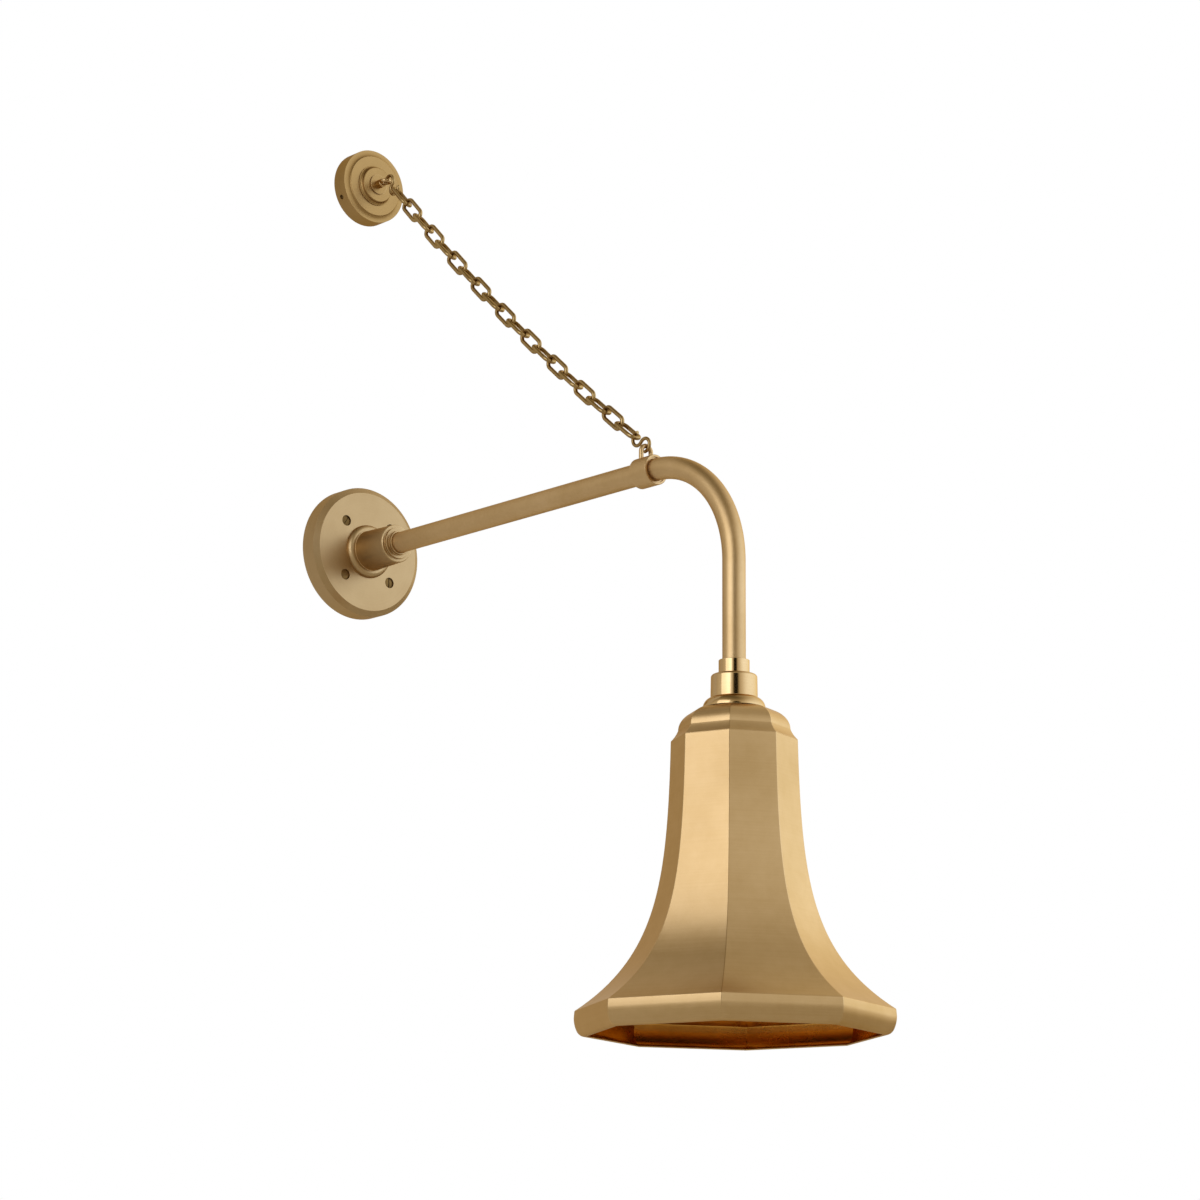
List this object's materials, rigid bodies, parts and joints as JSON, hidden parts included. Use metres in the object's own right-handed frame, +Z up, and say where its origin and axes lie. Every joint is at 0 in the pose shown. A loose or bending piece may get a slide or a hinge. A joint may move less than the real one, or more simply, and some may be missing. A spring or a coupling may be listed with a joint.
{
  "type": "pendant wall sconce",
  "caption": "Wall sconce: a tubular arm with a downward bend carries a flared octagonal bell shade, stayed by an oval-link chain from a small round upper canopy.",
  "frame": {"origin": "centre of the lower wall plate's back, on the wall plane", "axes": "+Z up, +Y into the wall, the light stands out along -Y, X along the wall"},
  "size_m": [0.2552, 0.6356, 0.8705],
  "materials": {
    "brass": "satin, burnished, warm antique tone",
    "brass_plain": "turned, unfinished",
    "steel": "zinc plated",
    "green_steel": "green dyed zinc",
    "cap_metal": "satin",
    "porcelain": "glazed",
    "live_cover": "smooth insulation",
    "neutral_cover": "smooth insulation",
    "connector_cover": "ribbed moulding"
  },
  "bodies": {
    "fixed": {"wall_plate": "brass", "plate_screws": "brass", "arm_boss": "brass", "arm_tube": "brass", "chain_collar": "brass", "collar_eye": "brass", "collar_set_screw": "brass", "rod_coupling": "brass", "shade_ring": "brass", "shade_flange": "brass", "shade_crown": "brass", "shade_bell": "brass", "anchor_cup": "brass", "cup_set_screws": "brass", "anchor_washer": "brass", "anchor_eye": "brass", "boss_lock_nut": "brass_plain", "socket_nipple": "brass_plain", "screw_shell": "brass_plain", "centre_contact": "brass_plain", "terminal_screws": "brass_plain", "stud_nut": "brass_plain", "crown_nut": "brass_plain", "mounting_strap": "steel", "boss_washer": "steel", "anchor_disc": "steel", "ground_screw": "green_steel", "socket_cap": "cap_metal", "socket_body": "porcelain", "live_wire": "live_cover", "neutral_wire": "neutral_cover", "wire_connectors": "connector_cover"},
    "chain": {"top_hook": "brass", "link_01": "brass", "link_02": "brass", "link_03": "brass", "link_04": "brass", "link_05": "brass", "link_06": "brass", "link_07": "brass", "link_08": "brass", "link_09": "brass", "link_10": "brass", "link_11": "brass", "link_12": "brass", "link_13": "brass", "link_14": "brass", "link_15": "brass", "link_16": "brass", "link_17": "brass", "link_18": "brass", "link_19": "brass", "bottom_hook": "brass"}
  },
  "joints": [
    {"name": "chain_sway", "type": "hinge", "parent": "fixed", "child": "chain", "pos_m": [0, -0.0376, 0.3556], "axis": [0, -0.7376, -0.6753], "range_deg": [-18, 18]}
  ]
}
